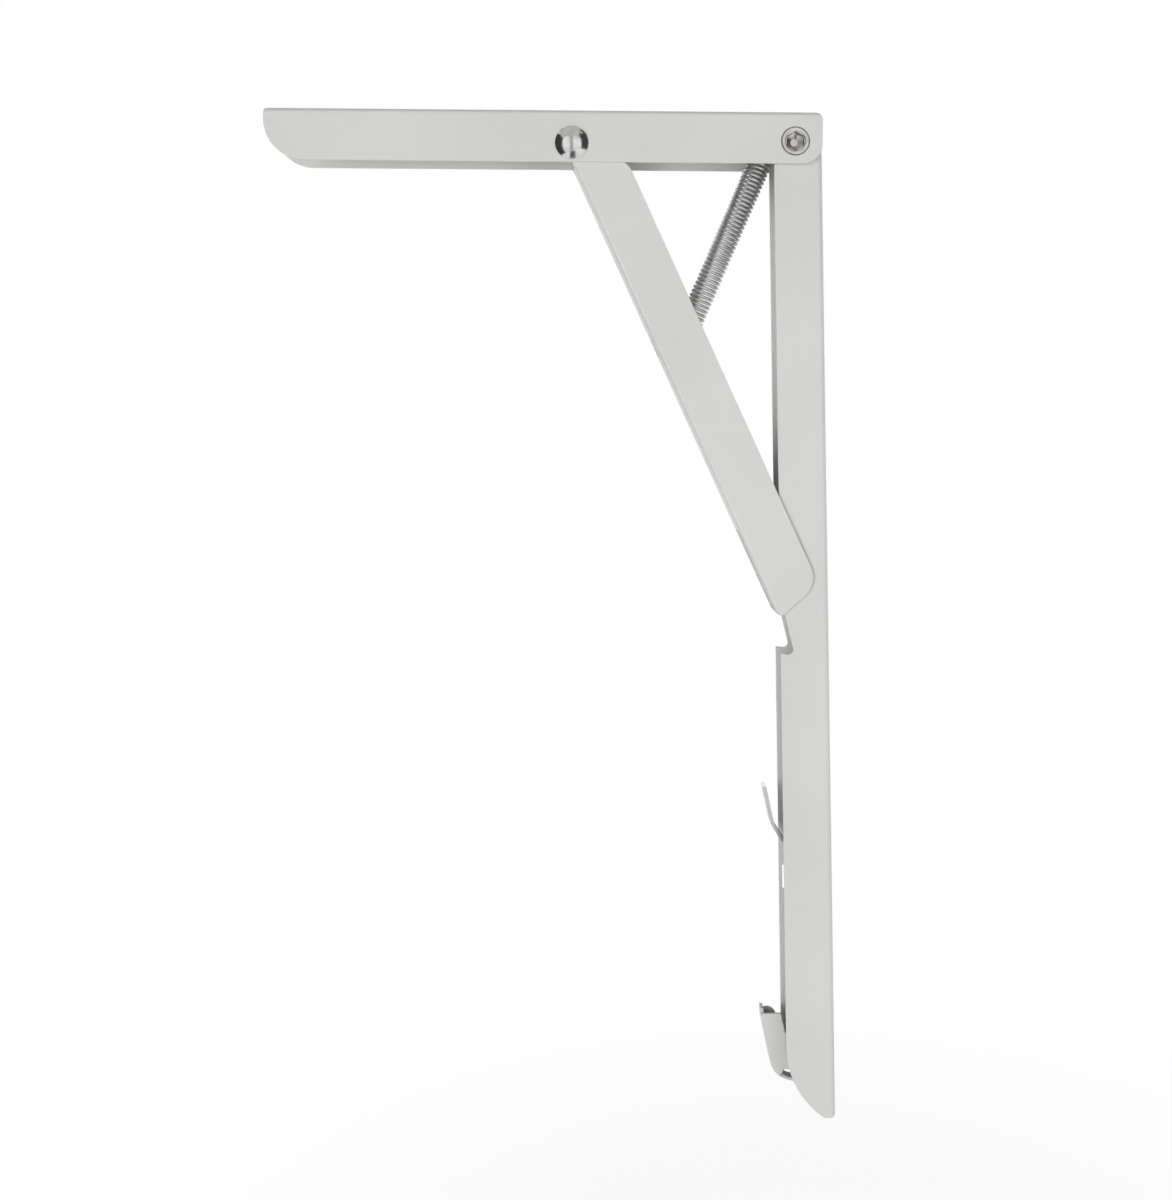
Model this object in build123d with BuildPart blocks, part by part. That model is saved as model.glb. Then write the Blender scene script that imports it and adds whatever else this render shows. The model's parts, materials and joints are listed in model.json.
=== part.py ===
from build123d import *
from math import asin, cos, degrees, pi, radians, sin, sqrt, tan
import os

# A folding shelf bracket whose brace is swung by an extension spring.
# Millimetres. X = 0 is the wall, the arm reaches towards -X, the pivots run along Y
# and +Z is up. The origin is the middle wall hole.

# Sheet and channels
sheet = 1.5
bend = 2.5
play = 0.2  # side play between one channel and the next
rail_width = 25.0
rail_depth = 25.85
strut_depth = 27.1
arm_depth = 27.65
strut_width = rail_width + 2 * (sheet + play)
arm_width = strut_width + 2 * (sheet + play)

# Wall rail, heights counted from the main pivot
pivot_depth = 14.75  # wall to main pivot
pivot_height = 230.0  # middle wall hole to main pivot
rail_top = 13.4
rail_drop = 522.4
nose_radius = 45.0
nose_drop = 37.3
wall_hole_spacing = 200.0
wall_hole_radius = 2.75
notch_above_foot = 12.9  # strut foot up to the start of the notch
notch_below_foot = 19.5  # strut foot down to the ledge
notch_depth = 7.35
notch_lip = 0.7
slot_drop = 400.3
slot_setback = 1.75
slot_width = 5.0
slot_height = 13.3

# Shelf arm
arm_lift = 1.29  # degrees above square to the wall
arm_reach = 283.9
arm_crown = 15.6  # pivot to the top face
wall_gap = 0.35
arm_heel_radius = 10.6  # keeps the lower corner off the wall as the arm turns
arm_nose_radius = 21.8
shelf_hole_inset = 28.9  # end of the arm to its first hole
shelf_hole_spacing = 105.0
shelf_hole_radius = 2.75

# Strut, lengths counted from its hinge
hinge_reach = 119.35
hinge_drop = 1.95
strut_reach = 277.2
foot_setback = 2.49  # rail front to the foot, on the hinge line
strut_end_slant = 8.7
strut_foot_radius = 13.0
strut_neck_radius = 12.0
hinge_to_web = 3.9
ear_radius = 9.0
web_start = 12.0
window_foot = 51.2  # strut foot up to the start of the window
window_length = 48.0
window_width = 20.0
tongue_width = 16.0
tongue_depth = 10.0

# Main pivot and strut rivets
barrel_radius = 6.2
barrel_bore = 3.0
head_radius = 7.65
head_chamfer = 0.6
washer_radius = 10.0
socket_flats = 9.2
socket_depth = 5.0
rivet_radius = 4.0
dome_radius = 8.9
dome_height = 3.2
dome_rim = 0.6
hinge_play = 0.1

# Lift spring
post_radius = 1.5
post_forward = 7.66
post_rise = 8.1
wire = 1.9
coil_diameter = 13.4
coil_offset = 1.7  # coil axis forward of the line from hook to loop
coil_pitch = 2.38
coil_shank = 20.2  # post to first turn
coil_run_out = 14.0  # last turn to anchor, at least
anchor_reach = 123.9
anchor_depth = 8.47
anchor_tab_width = 8.5
loop_radius = 2.9

# Latch bar, its catch and guides
bar_width = 16.0
bar_play = 0.3
travel = 5.0
lip_below_lever = 9.75
lip_reach = 7.5
screw_window = 18.0
guide_below_nose = 39.6
guide_above_lever = 30.0
guide_radius = 2.1
guide_collar = 3.5
guide_head = 4.0
guide_head_height = 1.5
guide_seat = 0.05  # end play of the bar between collar and head
stem_radius = 1.6
stem_length = 5.2
stem_rim = 0.8
tab_below_guide = 33.0
tab_width = 6.0
tab_sheet = 1.2
tab_cut = 7.0
tab_hole_radius = 0.8
catch_sheet = 1.8
catch_width = 10.0
catch_margin = 1.64  # top of the strut's window to the catch, when folded
catch_reach = 9.0  # tip forward of the rail
catch_leaf = 28.6  # tip down to where it enters the rail
catch_seat = 17.5  # straight run on the bar
catch_length = 66.4
catch_rivet_rises = (4.0, 11.0)  # above the lower end
catch_rivet_radius = 1.25
folded_gap = 0.8  # rail front to the strut's web, when folded

# Return spring of the bar
return_wire = 0.8
return_coil = 4.2
return_pitch = 1.2
return_turns = 18
return_ring = 2.15
return_start = 6.0  # stem to first turn
return_length = 35.4
return_stand = 3.3  # front of the bar to the spring's line

# Release lever and its carrier
lever_width = 10.0
lever_pin_depth = 9.25  # wall to lever pin
lever_pin_rise = 30.4  # foot of the rail to lever pin
lever_pin_radius = 2.0
lever_ear = 4.0
lever_top_radius = 3.0
lever_spacer_radius = 3.2
carrier_sheet = 1.2
carrier_height = 16.0

# Worked out from the sizes above
window_start = strut_reach - window_foot
rail_front = rail_depth - pivot_depth
arm_drop = arm_depth - arm_crown
rail_side = rail_width / 2
strut_side = strut_width / 2
arm_side = arm_width / 2
web_face = -sheet
bar_back = web_face - carrier_sheet - bar_play
bar_front = bar_back - sheet
bar_middle = (bar_back + bar_front) / 2

pivot = Vector(-pivot_depth, 0, pivot_height)
lift = radians(arm_lift)
rail_plane = Plane(origin=pivot, x_dir=(1, 0, 0), z_dir=(0, -1, 0))
arm_plane = Plane(origin=pivot, x_dir=(-cos(lift), 0, sin(lift)), z_dir=(0, 1, 0))
hinge = arm_plane.from_local_coords((hinge_reach, -hinge_drop))
lean = asin((-pivot_depth - hinge.X - rail_front + foot_setback) / strut_reach)
strut_plane = Plane(origin=hinge, x_dir=(sin(lean), 0, -cos(lean)), z_dir=(0, -1, 0))


def world(plane, along, across):
    """A point given in a side plane's own two axes."""
    return plane.from_local_coords((along, across))


def on_rail(point):
    """A world point in the rail's side plane: forward and up from the pivot."""
    return rail_plane.to_local_coords(point)


# Levels in the rail's side plane, up from the pivot
foot_level = on_rail(world(strut_plane, strut_reach, -hinge_to_web)).Y
notch_top = foot_level + notch_above_foot
notch_ledge = foot_level - notch_below_foot
nose_tip = on_rail(world(strut_plane, strut_reach + bar_play, sheet - play))
nose_line = bar_middle + pivot_depth
nose_top = nose_tip.Y + (nose_line - nose_tip.X) * tan(lean)
lever_level = lever_pin_rise - rail_drop
guide_levels = (nose_top - guide_below_nose, lever_level + guide_above_lever)
folded_hinge = hinge_to_web - sheet - rail_front - folded_gap
window_level = -sqrt(hinge_reach**2 + hinge_drop**2 - folded_hinge**2) - window_start
catch_top = window_level - catch_margin
catch_rivet_levels = [catch_top - catch_length + rise for rise in catch_rivet_rises]


def channel_section(width, depth):
    """The bent section of one channel: web on the local Y axis, walls towards +X."""
    half = (width - sheet) / 2
    corners = [(depth, -half), (sheet / 2, -half), (sheet / 2, half), (depth, half)]
    with BuildSketch() as section:
        with BuildLine() as middle:
            FilletPolyline(*corners, radius=bend - sheet / 2)
        trace(middle.line, line_width=sheet)
    return section.sketch


def strip(points, radii, thickness):
    """The side view of a bent strip, from the middle line of its bends."""
    with BuildSketch() as side:
        with BuildLine() as middle:
            FilletPolyline(*points, radius=radii)
        trace(middle.line, line_width=thickness)
    return side.sketch


def turned(plane, profile):
    """Revolve a profile given as (along the plane's X axis, radius) pairs."""
    with BuildSketch(plane) as section:
        with BuildLine():
            Polyline(*profile, close=True)
        make_face()
    revolve(section.sketch, axis=Axis(plane.origin, plane.x_dir))


def across_plane(point):
    """A turning plane whose X axis runs along Y through the point."""
    return Plane(origin=point, x_dir=(0, 1, 0), z_dir=(1, 0, 0))


def into_wall_plane(level):
    """A turning plane whose X axis runs towards the wall, at a level on the rail."""
    return Plane(origin=(0, 0, pivot_height + level), x_dir=(1, 0, 0), z_dir=(0, -1, 0))


# Wall rail
def rail_outline():
    """Side view of the rail: a round top inside the arm and a swept nose at the foot."""
    crown_angle = degrees(asin(rail_front / rail_top))
    nose_angle = degrees(asin(nose_drop / nose_radius))
    nose_start = nose_drop - rail_drop
    with BuildSketch() as outline:
        with BuildLine():
            top = CenterArc((0, 0), rail_top, 90, crown_angle)
            nose = CenterArc((nose_radius - rail_front, nose_start), nose_radius, 180, nose_angle)
            Polyline(top @ 1, nose @ 0)
            Polyline(nose @ 1, (pivot_depth, -rail_drop), (pivot_depth, rail_top), top @ 0)
        make_face()
        fillet(outline.vertices().sort_by(Axis.X)[-2:], bend)
    return outline.sketch


with BuildPart() as wall_rail:
    with BuildSketch(Plane(origin=(0, 0, pivot_height - rail_drop), x_dir=(-1, 0, 0), z_dir=(0, 0, 1))):
        add(channel_section(rail_width, rail_depth))
    extrude(amount=rail_drop + rail_top)
    with BuildSketch(rail_plane.offset(-rail_side)):
        add(rail_outline())
    extrude(amount=rail_width, mode=Mode.INTERSECT)
    with BuildSketch(rail_plane) as notch:
        with BuildLine():
            Polyline(
                (-rail_front - sheet, notch_top),
                (-rail_front, notch_top),
                (notch_depth - rail_front, notch_ledge),
                (-rail_front, notch_ledge + notch_lip),
                (-rail_front - sheet, notch_ledge + notch_lip),
                close=True,
            )
        make_face()
        fillet(notch.vertices().sort_by(Axis.X)[-1], bend)
    extrude(amount=rail_width, both=True, mode=Mode.SUBTRACT)
    with BuildSketch(rail_plane):
        Circle(barrel_radius)
        with Locations((-post_forward, post_rise)):
            Circle(post_radius)
    extrude(amount=rail_width, both=True, mode=Mode.SUBTRACT)
    with BuildSketch(rail_plane.offset(-rail_side)):
        with Locations((slot_setback + slot_width / 2 - rail_front, -slot_drop)):
            RectangleRounded(slot_width, slot_height, sheet / 2)
    extrude(amount=sheet, mode=Mode.SUBTRACT)
    with BuildSketch(Plane.YZ):
        with GridLocations(0, wall_hole_spacing, 1, 3):
            Circle(wall_hole_radius)
        with Locations(*[(0, pivot_height + level) for level in guide_levels]):
            Circle(guide_radius)
        with Locations((0, pivot_height + lever_level)):
            with GridLocations(0, carrier_height / 2, 1, 2):
                Circle(lever_pin_radius)
    extrude(amount=-sheet, mode=Mode.SUBTRACT)
wall_rail.part.label = "wall_rail"


# Shelf arm
with BuildPart() as shelf_arm:
    tail = pivot_depth - wall_gap
    arm_corners = [
        (arm_reach, -arm_drop, arm_nose_radius),
        (arm_reach, arm_crown, bend),
        (-tail, -arm_drop, arm_heel_radius),
        (-tail, arm_crown, 1.7 * bend),
    ]
    arm_start = Plane(
        origin=world(arm_plane, -tail, arm_crown),
        x_dir=-arm_plane.y_dir,
        z_dir=arm_plane.x_dir,
    )
    with BuildSketch(arm_start):
        add(channel_section(arm_width, arm_depth))
    extrude(amount=tail + arm_reach)
    with BuildSketch(arm_plane.offset(-arm_side)) as arm_side_view:
        with Locations(((arm_reach - tail) / 2, (arm_crown - arm_drop) / 2)):
            Rectangle(arm_reach + tail, arm_depth)
        for along, up, radius in arm_corners:
            fillet(arm_side_view.vertices().sort_by_distance((along, up))[0], radius)
    extrude(amount=arm_width, mode=Mode.INTERSECT)
    with BuildSketch(arm_plane):
        Circle(head_radius + hinge_play)
        with Locations((hinge_reach, -hinge_drop)):
            Circle(rivet_radius)
    extrude(amount=arm_width, both=True, mode=Mode.SUBTRACT)
    arm_top = Plane(origin=world(arm_plane, 0, arm_crown), x_dir=arm_plane.x_dir, z_dir=arm_plane.y_dir)
    shelf_hole_reaches = [arm_reach - shelf_hole_inset - step * shelf_hole_spacing for step in range(3)]
    with BuildSketch(arm_top):
        with Locations(*[(reach, 0) for reach in shelf_hole_reaches]):
            Circle(shelf_hole_radius)
    extrude(amount=-sheet, mode=Mode.SUBTRACT)
shelf_arm.part.label = "shelf_arm"


# Strut
strut_open = strut_depth - hinge_to_web


def strut_outline():
    """Side view of the strut's walls: round ear at the hinge, slanted round foot."""
    with BuildSketch() as outline:
        with BuildLine():
            Polyline(
                (0, -hinge_to_web),
                (strut_reach, -hinge_to_web),
                (strut_reach - strut_end_slant, strut_open),
                (2 * web_start, strut_open),
                (0, ear_radius),
                close=True,
            )
        make_face()
        fillet(outline.vertices().sort_by_distance((strut_reach, strut_open))[0], strut_foot_radius)
        fillet(outline.vertices().sort_by_distance((2 * web_start, strut_open))[0], strut_neck_radius)
        fillet(outline.vertices().sort_by_distance((strut_reach, -hinge_to_web))[0], 1.2 * bend)
        Circle(ear_radius)
    return outline.sketch


with BuildPart() as strut_channel:
    strut_start = Plane(
        origin=world(strut_plane, web_start, -hinge_to_web),
        x_dir=strut_plane.y_dir,
        z_dir=strut_plane.x_dir,
    )
    with BuildSketch(strut_start):
        add(channel_section(strut_width, strut_depth))
    extrude(amount=strut_reach - web_start)
    with BuildSketch(strut_plane.offset(-strut_side)):
        add(strut_outline())
    extrude(amount=strut_width, mode=Mode.INTERSECT)

with BuildPart() as strut:
    with BuildSketch(strut_plane):
        add(strut_outline())
        with Locations((web_start - ear_radius, 0)):
            Rectangle(2 * ear_radius + 1, 4 * strut_depth, mode=Mode.INTERSECT)
    extrude(amount=strut_side, both=True)
    with BuildSketch(strut_plane):
        Rectangle(4 * strut_depth, 4 * strut_depth)
    extrude(amount=strut_side - sheet, both=True, mode=Mode.SUBTRACT)
    add(strut_channel.part)
    web_outside = Plane(
        origin=world(strut_plane, 0, -hinge_to_web),
        x_dir=strut_plane.x_dir,
        z_dir=strut_plane.y_dir,
    )
    with BuildSketch(web_outside):
        with Locations((window_start + window_length / 2, 0)):
            RectangleRounded(window_length, window_width, bend)
        with Locations((anchor_reach - sheet / 2 - tongue_depth / 2, 0)):
            RectangleRounded(tongue_depth, anchor_tab_width + sheet, sheet)
    extrude(amount=sheet, mode=Mode.SUBTRACT)
    with BuildSketch(strut_plane):
        with Locations((strut_reach - sheet, (tongue_depth - hinge_to_web + sheet) / 2)):
            Rectangle(sheet, tongue_depth + hinge_to_web - sheet)
    extrude(amount=tongue_width / 2, both=True)
    with BuildSketch(strut_plane):
        tab_top = anchor_depth + loop_radius - wire / 2 - play
        with Locations((anchor_reach, (tab_top - hinge_to_web) / 2)):
            Rectangle(sheet, tab_top + hinge_to_web)
    extrude(amount=anchor_tab_width / 2, both=True)
    with BuildSketch(Plane(origin=world(strut_plane, anchor_reach, anchor_depth - loop_radius),
                           x_dir=(0, 1, 0), z_dir=strut_plane.x_dir)):
        Circle(wire / 2 + 3 * play)
    extrude(amount=sheet, both=True, mode=Mode.SUBTRACT)
    with BuildSketch(strut_plane):
        Circle(rivet_radius + hinge_play)
    extrude(amount=strut_width, both=True, mode=Mode.SUBTRACT)
strut.part.label = "strut"


# Main pivot
def hex_socket(face_plane):
    """Cut a hexagon socket into a face, a corner upwards, with a mouth chamfer and drill point."""
    corner = socket_flats / sqrt(3)
    with BuildSketch(face_plane) as hexagon:
        RegularPolygon(corner, 6, rotation=90)
    extrude(hexagon.sketch, amount=-socket_depth, mode=Mode.SUBTRACT)
    with BuildSketch(face_plane) as mouth:
        Circle(corner + 0.3)
    extrude(mouth.sketch, amount=0.3 - corner + socket_flats / 2, taper=45, mode=Mode.SUBTRACT)
    with BuildSketch(face_plane.offset(-socket_depth)) as drill:
        Circle(socket_flats / 2)
    extrude(drill.sketch, amount=-socket_flats / 6, taper=60, mode=Mode.SUBTRACT)


arm_inner = arm_side - sheet
head_flat = head_radius - head_chamfer
with BuildPart() as pivot_barrel:
    turned(
        across_plane(pivot),
        [(-arm_side, 0), (-arm_side, head_flat), (head_chamfer - arm_side, head_radius),
         (-arm_inner, head_radius), (-arm_inner, barrel_radius), (arm_inner, barrel_radius),
         (arm_inner, barrel_bore), (0, barrel_bore), (-barrel_bore / 2, 0)],
    )
    hex_socket(rail_plane.offset(arm_side))
pivot_barrel.part.label = "pivot_barrel"

with BuildPart() as pivot_screw:
    turned(
        across_plane(pivot),
        [(arm_side, 0), (arm_side, head_flat), (arm_side - head_chamfer, head_radius),
         (arm_inner, head_radius), (arm_inner, barrel_bore), (sheet, barrel_bore),
         (sheet / 2, barrel_bore / 2), (sheet / 2, 0)],
    )
    with BuildSketch(rail_plane.offset(-arm_side)):
        Rectangle(2 * head_radius, sheet / 2)
    extrude(amount=sheet / 2, mode=Mode.SUBTRACT)
pivot_screw.part.label = "pivot_screw"

with BuildPart() as pivot_washer_far:
    turned(
        across_plane(pivot),
        [(rail_side, barrel_radius), (rail_side, washer_radius), (arm_inner - play / 4, washer_radius),
         (arm_inner - play / 4, barrel_radius)],
    )
pivot_washer_far.part.label = "pivot_washer_far"

with BuildPart() as pivot_washer_near:
    add(mirror(pivot_washer_far.part, about=Plane.XZ))
pivot_washer_near.part.label = "pivot_washer_near"


# Strut rivets: a polished dome outside the arm, its tail set flush inside the strut
with BuildPart() as strut_rivet_far:
    rim = arm_side + dome_rim
    tail_face = strut_side - sheet
    cap_radius = (dome_radius**2 + dome_height**2) / (2 * dome_height)
    cap_angle = degrees(asin(dome_radius / cap_radius))
    with BuildSketch(across_plane(hinge)):
        with BuildLine():
            dome = CenterArc((rim + dome_height - cap_radius, 0), cap_radius, 0, cap_angle)
            Polyline(dome @ 1, (arm_side, dome_radius), (arm_side, rivet_radius), (tail_face, rivet_radius),
                     (tail_face, 0), dome @ 0)
        make_face()
    revolve(axis=Axis(hinge, (0, 1, 0)))
strut_rivet_far.part.label = "strut_rivet_far"

with BuildPart() as strut_rivet_near:
    add(mirror(strut_rivet_far.part, about=Plane.XZ))
strut_rivet_near.part.label = "strut_rivet_near"


# Lift spring, drawn as a polygon of short straight runs
def wire_path(points, radius, sides=6):
    """Sweep round wire, as a hexagon, along straight runs with mitred corners."""
    with BuildLine() as path:
        Polyline(*points)
    with BuildSketch(Plane(origin=path.line @ 0, z_dir=path.line % 0)) as section:
        RegularPolygon(radius, sides)
    sweep(section.sketch, path=path.line, transition=Transition.RIGHT)


def helix_points(start, turns, pitch, radius, offset=0):
    """Points of a helix about local Z, or about a line beside it, from a height."""
    steps = 8
    points = []
    for step in range(turns * steps + 1):
        turn = 2 * pi * step / steps
        points.append((radius * cos(turn) - offset, radius * sin(turn), start + pitch * step / steps))
    return points


post = world(rail_plane, -post_forward, post_rise)
anchor = world(strut_plane, anchor_reach, anchor_depth)
spring_axis = (anchor - post).normalized()
spring_plane = Plane(origin=post, x_dir=(-spring_axis.Z, 0, spring_axis.X), z_dir=spring_axis)
spring_length = (anchor - post).length
coil_radius = (coil_diameter - wire) / 2
hook_radius = post_radius + wire / 2 + hinge_play
coil_turns = int((spring_length - coil_run_out - coil_shank) / coil_pitch)
coil_end = coil_shank + coil_turns * coil_pitch

with BuildPart() as spring_post:
    with BuildSketch(Plane(origin=post + Vector(0, -rail_side, 0), x_dir=(1, 0, 0), z_dir=(0, 1, 0))):
        Circle(post_radius)
    extrude(amount=rail_width)
spring_post.part.label = "spring_post"

with BuildPart() as lift_spring:
    hook = []
    for step in range(8):
        angle = radians(200 - step * 230 / 7)
        hook.append((hook_radius * cos(angle), 0, -hook_radius * sin(angle)))
    shank = [(0, 0, 2 * hook_radius), (0, 0, coil_shank - 4),
             (coil_radius * 0.7 - coil_offset, 0, coil_shank - 1.5)]
    coil = helix_points(coil_shank, coil_turns, coil_pitch, coil_radius, coil_offset)
    run_out = [(coil_radius * 0.5 - coil_offset, 0, coil_end + 1.5),
               (0, 0, coil_end + 4), (0, 0, coil_end + 6)]
    path_points = [spring_plane.from_local_coords(point) for point in hook + shank + coil + run_out]
    wire_path(path_points, wire / 2)
lift_spring.part.label = "lift_spring"

with BuildPart() as lift_spring_loop:
    loop = [(0, 0, coil_end + 6)]
    for step in range(12):
        angle = radians(90 - step * 30)
        loop.append((loop_radius * cos(angle), 0, spring_length - loop_radius * sin(angle)))
    wire_path([spring_plane.from_local_coords(point) for point in loop], wire / 2)
lift_spring_loop.part.label = "lift_spring_loop"


# Latch bar: nose under the strut's tongue, guide slots, foot lip under the lever
tab_level = guide_levels[0] - tab_below_guide
lip_level = lever_level - lip_below_lever
bar_path = [(nose_tip.X, nose_tip.Y), (nose_line, nose_top), (nose_line, lip_level), (-lip_reach, lip_level)]

with BuildPart() as latch_bar:
    with BuildSketch(rail_plane):
        add(strip(bar_path, bend - sheet / 2, sheet))
    extrude(amount=bar_width / 2, both=True)
    with BuildSketch(Plane.YZ.offset(bar_front)):
        with Locations((0, -wall_hole_spacing)):
            RectangleRounded(bar_width - 4, screw_window, bend)
        with Locations(*[(0, pivot_height + level + travel / 2) for level in guide_levels]):
            SlotCenterToCenter(travel, 2 * (guide_radius + play), rotation=90)
        with Locations(*[(0, pivot_height + level) for level in catch_rivet_levels]):
            Circle(catch_rivet_radius)
        with Locations((0, pivot_height + tab_level + (tab_cut + 1) / 2)):
            Rectangle(tab_width + 2 * play, tab_cut)
    extrude(amount=sheet, mode=Mode.SUBTRACT)
    with BuildSketch(rail_plane):
        with Locations((nose_line - tab_width / 2, tab_level)):
            Rectangle(tab_width + sheet, tab_sheet)
    extrude(amount=tab_width / 2, both=True)
    with BuildSketch(Plane.XY.offset(pivot_height + tab_level)):
        with Locations((bar_front - return_stand, 0)):
            Circle(tab_hole_radius)
    extrude(amount=tab_sheet, both=True, mode=Mode.SUBTRACT)
latch_bar.part.label = "latch_bar"

catch_line = bar_front + pivot_depth - catch_sheet / 2
catch_path = [
    (-rail_front - catch_reach, catch_top),
    (-rail_front - 0.56 * catch_reach, catch_top - 0.7 * catch_leaf),
    (-rail_front, catch_top - catch_leaf),
    (catch_line, catch_top - catch_length + catch_seat),
    (catch_line, catch_top - catch_length),
]
with BuildPart() as catch:
    with BuildSketch(rail_plane):
        add(strip(catch_path, [12, 5, 5], catch_sheet))
    extrude(amount=catch_width / 2, both=True)
    with BuildSketch(Plane.YZ.offset(bar_front)):
        with Locations(*[(0, pivot_height + level) for level in catch_rivet_levels]):
            Circle(catch_rivet_radius)
    extrude(amount=-catch_sheet, mode=Mode.SUBTRACT)
catch.part.label = "catch"

with BuildPart() as catch_rivet_pair:
    catch_face = bar_front - catch_sheet
    for level in catch_rivet_levels:
        turned(
            into_wall_plane(level),
            [(catch_face - 0.9, 0), (catch_face - 0.9, 1.5), (catch_face, 2.2),
             (catch_face, catch_rivet_radius), (bar_back, catch_rivet_radius),
             (bar_back, 1.9), (bar_back + 0.8, 1.6), (bar_back + 0.8, 0)],
        )
catch_rivet_pair.part.label = "catch_rivet_pair"

stem_end = bar_front - stem_length
guide_face = bar_front - guide_head_height
guide_shank = [
    (0, 0), (0, guide_radius), (web_face, guide_radius), (web_face, guide_collar),
    (bar_back + guide_seat, guide_collar), (bar_back + guide_seat, guide_radius),
    (bar_front - guide_seat, guide_radius), (bar_front - guide_seat, guide_head),
]
guide_stem = [
    (guide_face, guide_head), (guide_face, stem_radius),
    (stem_end, stem_radius), (stem_end, stem_radius + stem_rim),
    (stem_end - stem_rim, stem_radius + stem_rim), (stem_end - stem_rim, 0),
]
with BuildPart() as guide_rivet_upper:
    turned(into_wall_plane(guide_levels[0]), guide_shank + guide_stem)
guide_rivet_upper.part.label = "guide_rivet_upper"

with BuildPart() as guide_rivet_lower:
    guide_cap = [(guide_face, 0.85 * guide_head), (guide_face, 0)]
    turned(into_wall_plane(guide_levels[1]), guide_shank + guide_cap)
guide_rivet_lower.part.label = "guide_rivet_lower"

with BuildPart() as return_spring:
    return_plane = Plane(
        origin=(bar_front - return_stand, 0, pivot_height + guide_levels[0]),
        x_dir=(0, 1, 0),
        z_dir=(0, 0, -1),
    )
    ring = []
    for step in range(9):
        angle = radians(220 - step * 30)
        ring.append((return_ring * cos(angle), 0, -return_ring * sin(angle)))
    lead_in = [(0, 0, return_start - 2.1), (return_coil / 2, 0, return_start - return_wire)]
    small_coil = helix_points(return_start, return_turns, return_pitch, return_coil / 2)
    small_end = return_start + return_turns * return_pitch
    lead_out = [(return_wire, 0, small_end + 1.4), (0, 0, small_end + 2.4),
                (0, 0, return_length - return_wire), (2.2, 0, return_length)]
    spring_points = ring + lead_in + small_coil + lead_out
    wire_path([return_plane.from_local_coords(point) for point in spring_points], return_wire / 2, 4)
return_spring.part.label = "return_spring"


# Release lever in its carrier
lever_pin_at = Vector(-lever_pin_depth, 0, pivot_height + lever_level)
lever_plane = Plane(origin=lever_pin_at, x_dir=(1, 0, 0), z_dir=(0, -1, 0))
lever_web = [(-28.5, 28.4), (-28.1, 18.8), (-21.8, -13.65), (-10.5, -13.65)]
lever_flange = [
    (-28.4, 22.8), (-24.1, -2.6), (-15.1, -8.3), (-9.5, -8.4), (-0.9, -3.9), (-0.9, 3.9), (-16.15, 13.4),
    (-18.7, 22.8),
]
with BuildPart() as release_lever:
    with BuildSketch(lever_plane) as lever_side:
        with BuildLine():
            Polyline(*lever_flange, close=True)
        make_face()
        fillet(lever_side.vertices().sort_by_distance(lever_flange[-1])[0], lever_top_radius)
        Circle(lever_ear)
    extrude(amount=lever_width / 2, both=True)
    with BuildSketch(lever_plane):
        Rectangle(4 * rail_depth, 4 * rail_depth)
    extrude(amount=lever_width / 2 - sheet, both=True, mode=Mode.SUBTRACT)
    with BuildSketch(lever_plane):
        add(strip(lever_web, [15, 10], sheet))
    extrude(amount=lever_width / 2, both=True)
    with BuildSketch(lever_plane):
        Circle(lever_pin_radius + hinge_play)
    extrude(amount=lever_width, both=True, mode=Mode.SUBTRACT)
release_lever.part.label = "release_lever"

carrier_width = rail_width - 2 * sheet - 4 * play
carrier_depth = lever_pin_depth - sheet + lever_ear
with BuildPart() as lever_carrier:
    carrier_half = carrier_width / 2
    with BuildSketch(Plane(origin=(web_face, 0, lever_pin_at.Z - carrier_height / 2),
                           x_dir=(-1, 0, 0), z_dir=(0, 0, 1))):
        with BuildLine() as carrier_line:
            FilletPolyline(
                (carrier_depth, carrier_sheet / 2 - carrier_half),
                (carrier_sheet / 2, carrier_sheet / 2 - carrier_half),
                (carrier_sheet / 2, carrier_half - carrier_sheet / 2),
                (carrier_depth, carrier_half - carrier_sheet / 2),
                radius=bend - carrier_sheet / 2,
            )
        trace(carrier_line.line, line_width=carrier_sheet)
    extrude(amount=carrier_height)
    with BuildSketch(lever_plane):
        Circle(lever_pin_radius)
    extrude(amount=rail_width, both=True, mode=Mode.SUBTRACT)
    with BuildSketch(Plane.YZ.offset(web_face)):
        with Locations((0, lever_pin_at.Z)):
            with GridLocations(0, carrier_height / 2, 1, 2):
                Circle(lever_pin_radius)
    extrude(amount=-carrier_sheet, mode=Mode.SUBTRACT)
lever_carrier.part.label = "lever_carrier"

with BuildPart() as carrier_rivet_pair:
    with BuildSketch(Plane.YZ):
        with Locations((0, lever_pin_at.Z)):
            with GridLocations(0, carrier_height / 2, 1, 2):
                Circle(lever_pin_radius)
    extrude(amount=-sheet - carrier_sheet)
carrier_rivet_pair.part.label = "carrier_rivet_pair"

with BuildPart() as lever_pin:
    turned(across_plane(lever_pin_at), [(-carrier_half, 0), (-carrier_half, lever_pin_radius),
                                       (carrier_half, lever_pin_radius), (carrier_half, 0)])
lever_pin.part.label = "lever_pin"

with BuildPart() as lever_spacer_far:
    spacer_start = lever_width / 2 + play / 4
    spacer_end = carrier_half - carrier_sheet
    turned(
        across_plane(lever_pin_at),
        [(spacer_start, lever_pin_radius), (spacer_start, lever_spacer_radius),
         (spacer_end, lever_spacer_radius), (spacer_end, lever_pin_radius)],
    )
lever_spacer_far.part.label = "lever_spacer_far"

with BuildPart() as lever_spacer_near:
    add(mirror(lever_spacer_far.part, about=Plane.XZ))
lever_spacer_near.part.label = "lever_spacer_near"


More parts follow.
